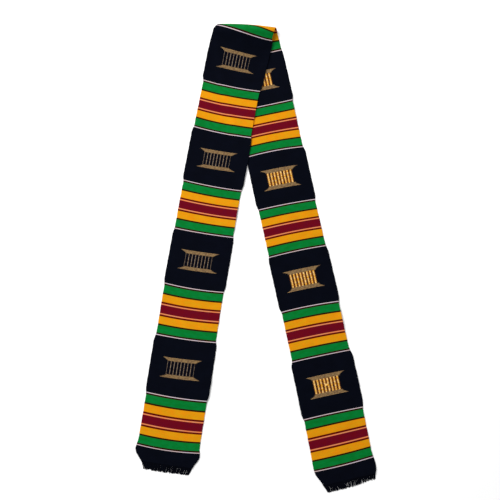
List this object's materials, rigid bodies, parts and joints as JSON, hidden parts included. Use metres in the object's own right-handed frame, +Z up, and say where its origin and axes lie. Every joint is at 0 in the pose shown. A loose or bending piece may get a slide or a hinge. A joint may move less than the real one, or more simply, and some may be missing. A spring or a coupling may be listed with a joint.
{
  "type": "kente cloth strip",
  "caption": "Narrow woven kente strip with bands of stripes and stool motifs, folded over once and laid flat as two crossing legs with raveled ends.",
  "frame": {"origin": "on the surface the cloth lies on, under the middle of its box", "axes": "+Z up from the surface; +Y along the length, from the raveled ends to the fold; +X to the right seen from above"},
  "size_m": [0.4489, 0.9079, 0.0303],
  "materials": {
    "kente_cloth": "fine ribbed handwoven cotton and rayon, black with green, gold and maroon stripes, slight sheen",
    "fringe_yarn": "loose black warp threads, matt"
  },
  "bodies": {
    "root": {"cloth": "kente_cloth", "fringe_front": "fringe_yarn", "fringe_back": "fringe_yarn"}
  },
  "joints": []
}
